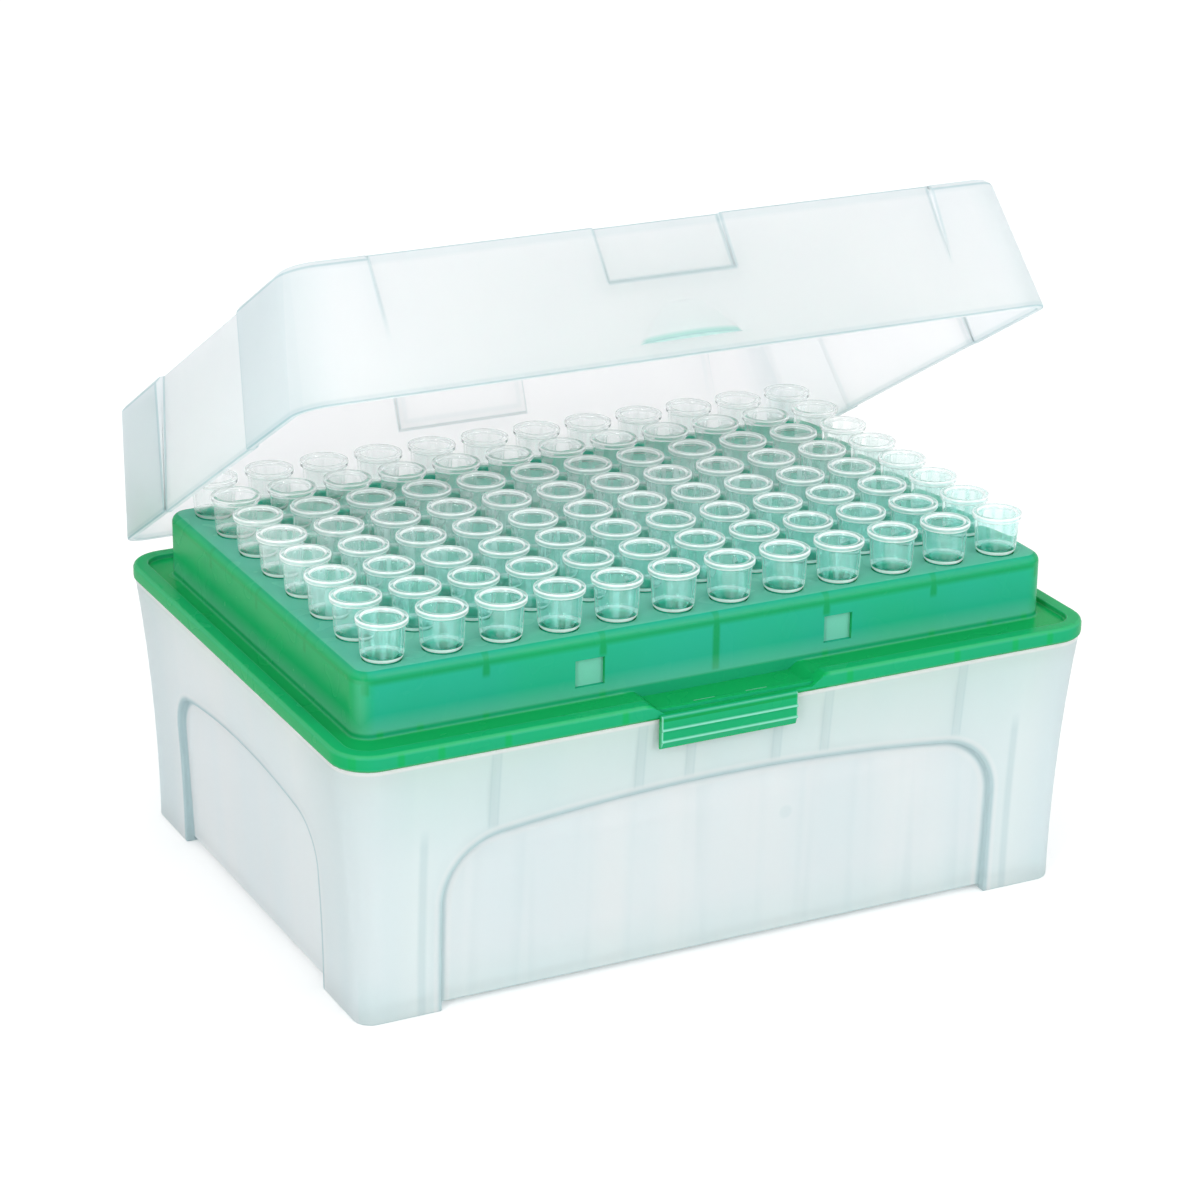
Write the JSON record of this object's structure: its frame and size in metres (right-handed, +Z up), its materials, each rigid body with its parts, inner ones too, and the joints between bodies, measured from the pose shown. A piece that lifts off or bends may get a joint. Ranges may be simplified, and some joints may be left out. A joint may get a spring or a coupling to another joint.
{
  "type": "pipette tip box",
  "caption": "Hinged box of pipette tips: frosted base and lid, green tip rack with a flange and thumb ledge, and clear tips standing on a square grid.",
  "frame": {"origin": "middle of the base's footprint, on the surface that the feet stand on", "axes": "+X along the long side, to the right seen from the front; +Y from the front, which has the thumb ledge, to the rear, which has the hinge; +Z up"},
  "size_m": [0.1204, 0.0989, 0.1035],
  "materials": {
    "frosted_base": "frosted natural polypropylene, satin",
    "frosted_lid": "frosted natural polypropylene, satin",
    "green_rack": "green polypropylene, satin gloss",
    "clear_tip": "clear polypropylene, polished mould"
  },
  "bodies": {
    "box": {"base": "frosted_base", "tip_rack": "green_rack", "tip_column_01": "clear_tip", "tip_column_02": "clear_tip", "tip_column_03": "clear_tip", "tip_column_04": "clear_tip", "tip_column_05": "clear_tip", "tip_column_06": "clear_tip", "tip_column_07": "clear_tip", "tip_column_08": "clear_tip", "tip_column_09": "clear_tip", "tip_column_10": "clear_tip", "tip_column_11": "clear_tip", "tip_column_12": "clear_tip"},
    "lid": {"lid": "frosted_lid"}
  },
  "joints": [
    {"name": "lid_hinge", "type": "hinge", "parent": "box", "child": "lid", "pos_m": [0, 0.0454, 0.0383], "axis": [-1, 0, 0], "range_deg": [-30.8, 79.2]}
  ]
}
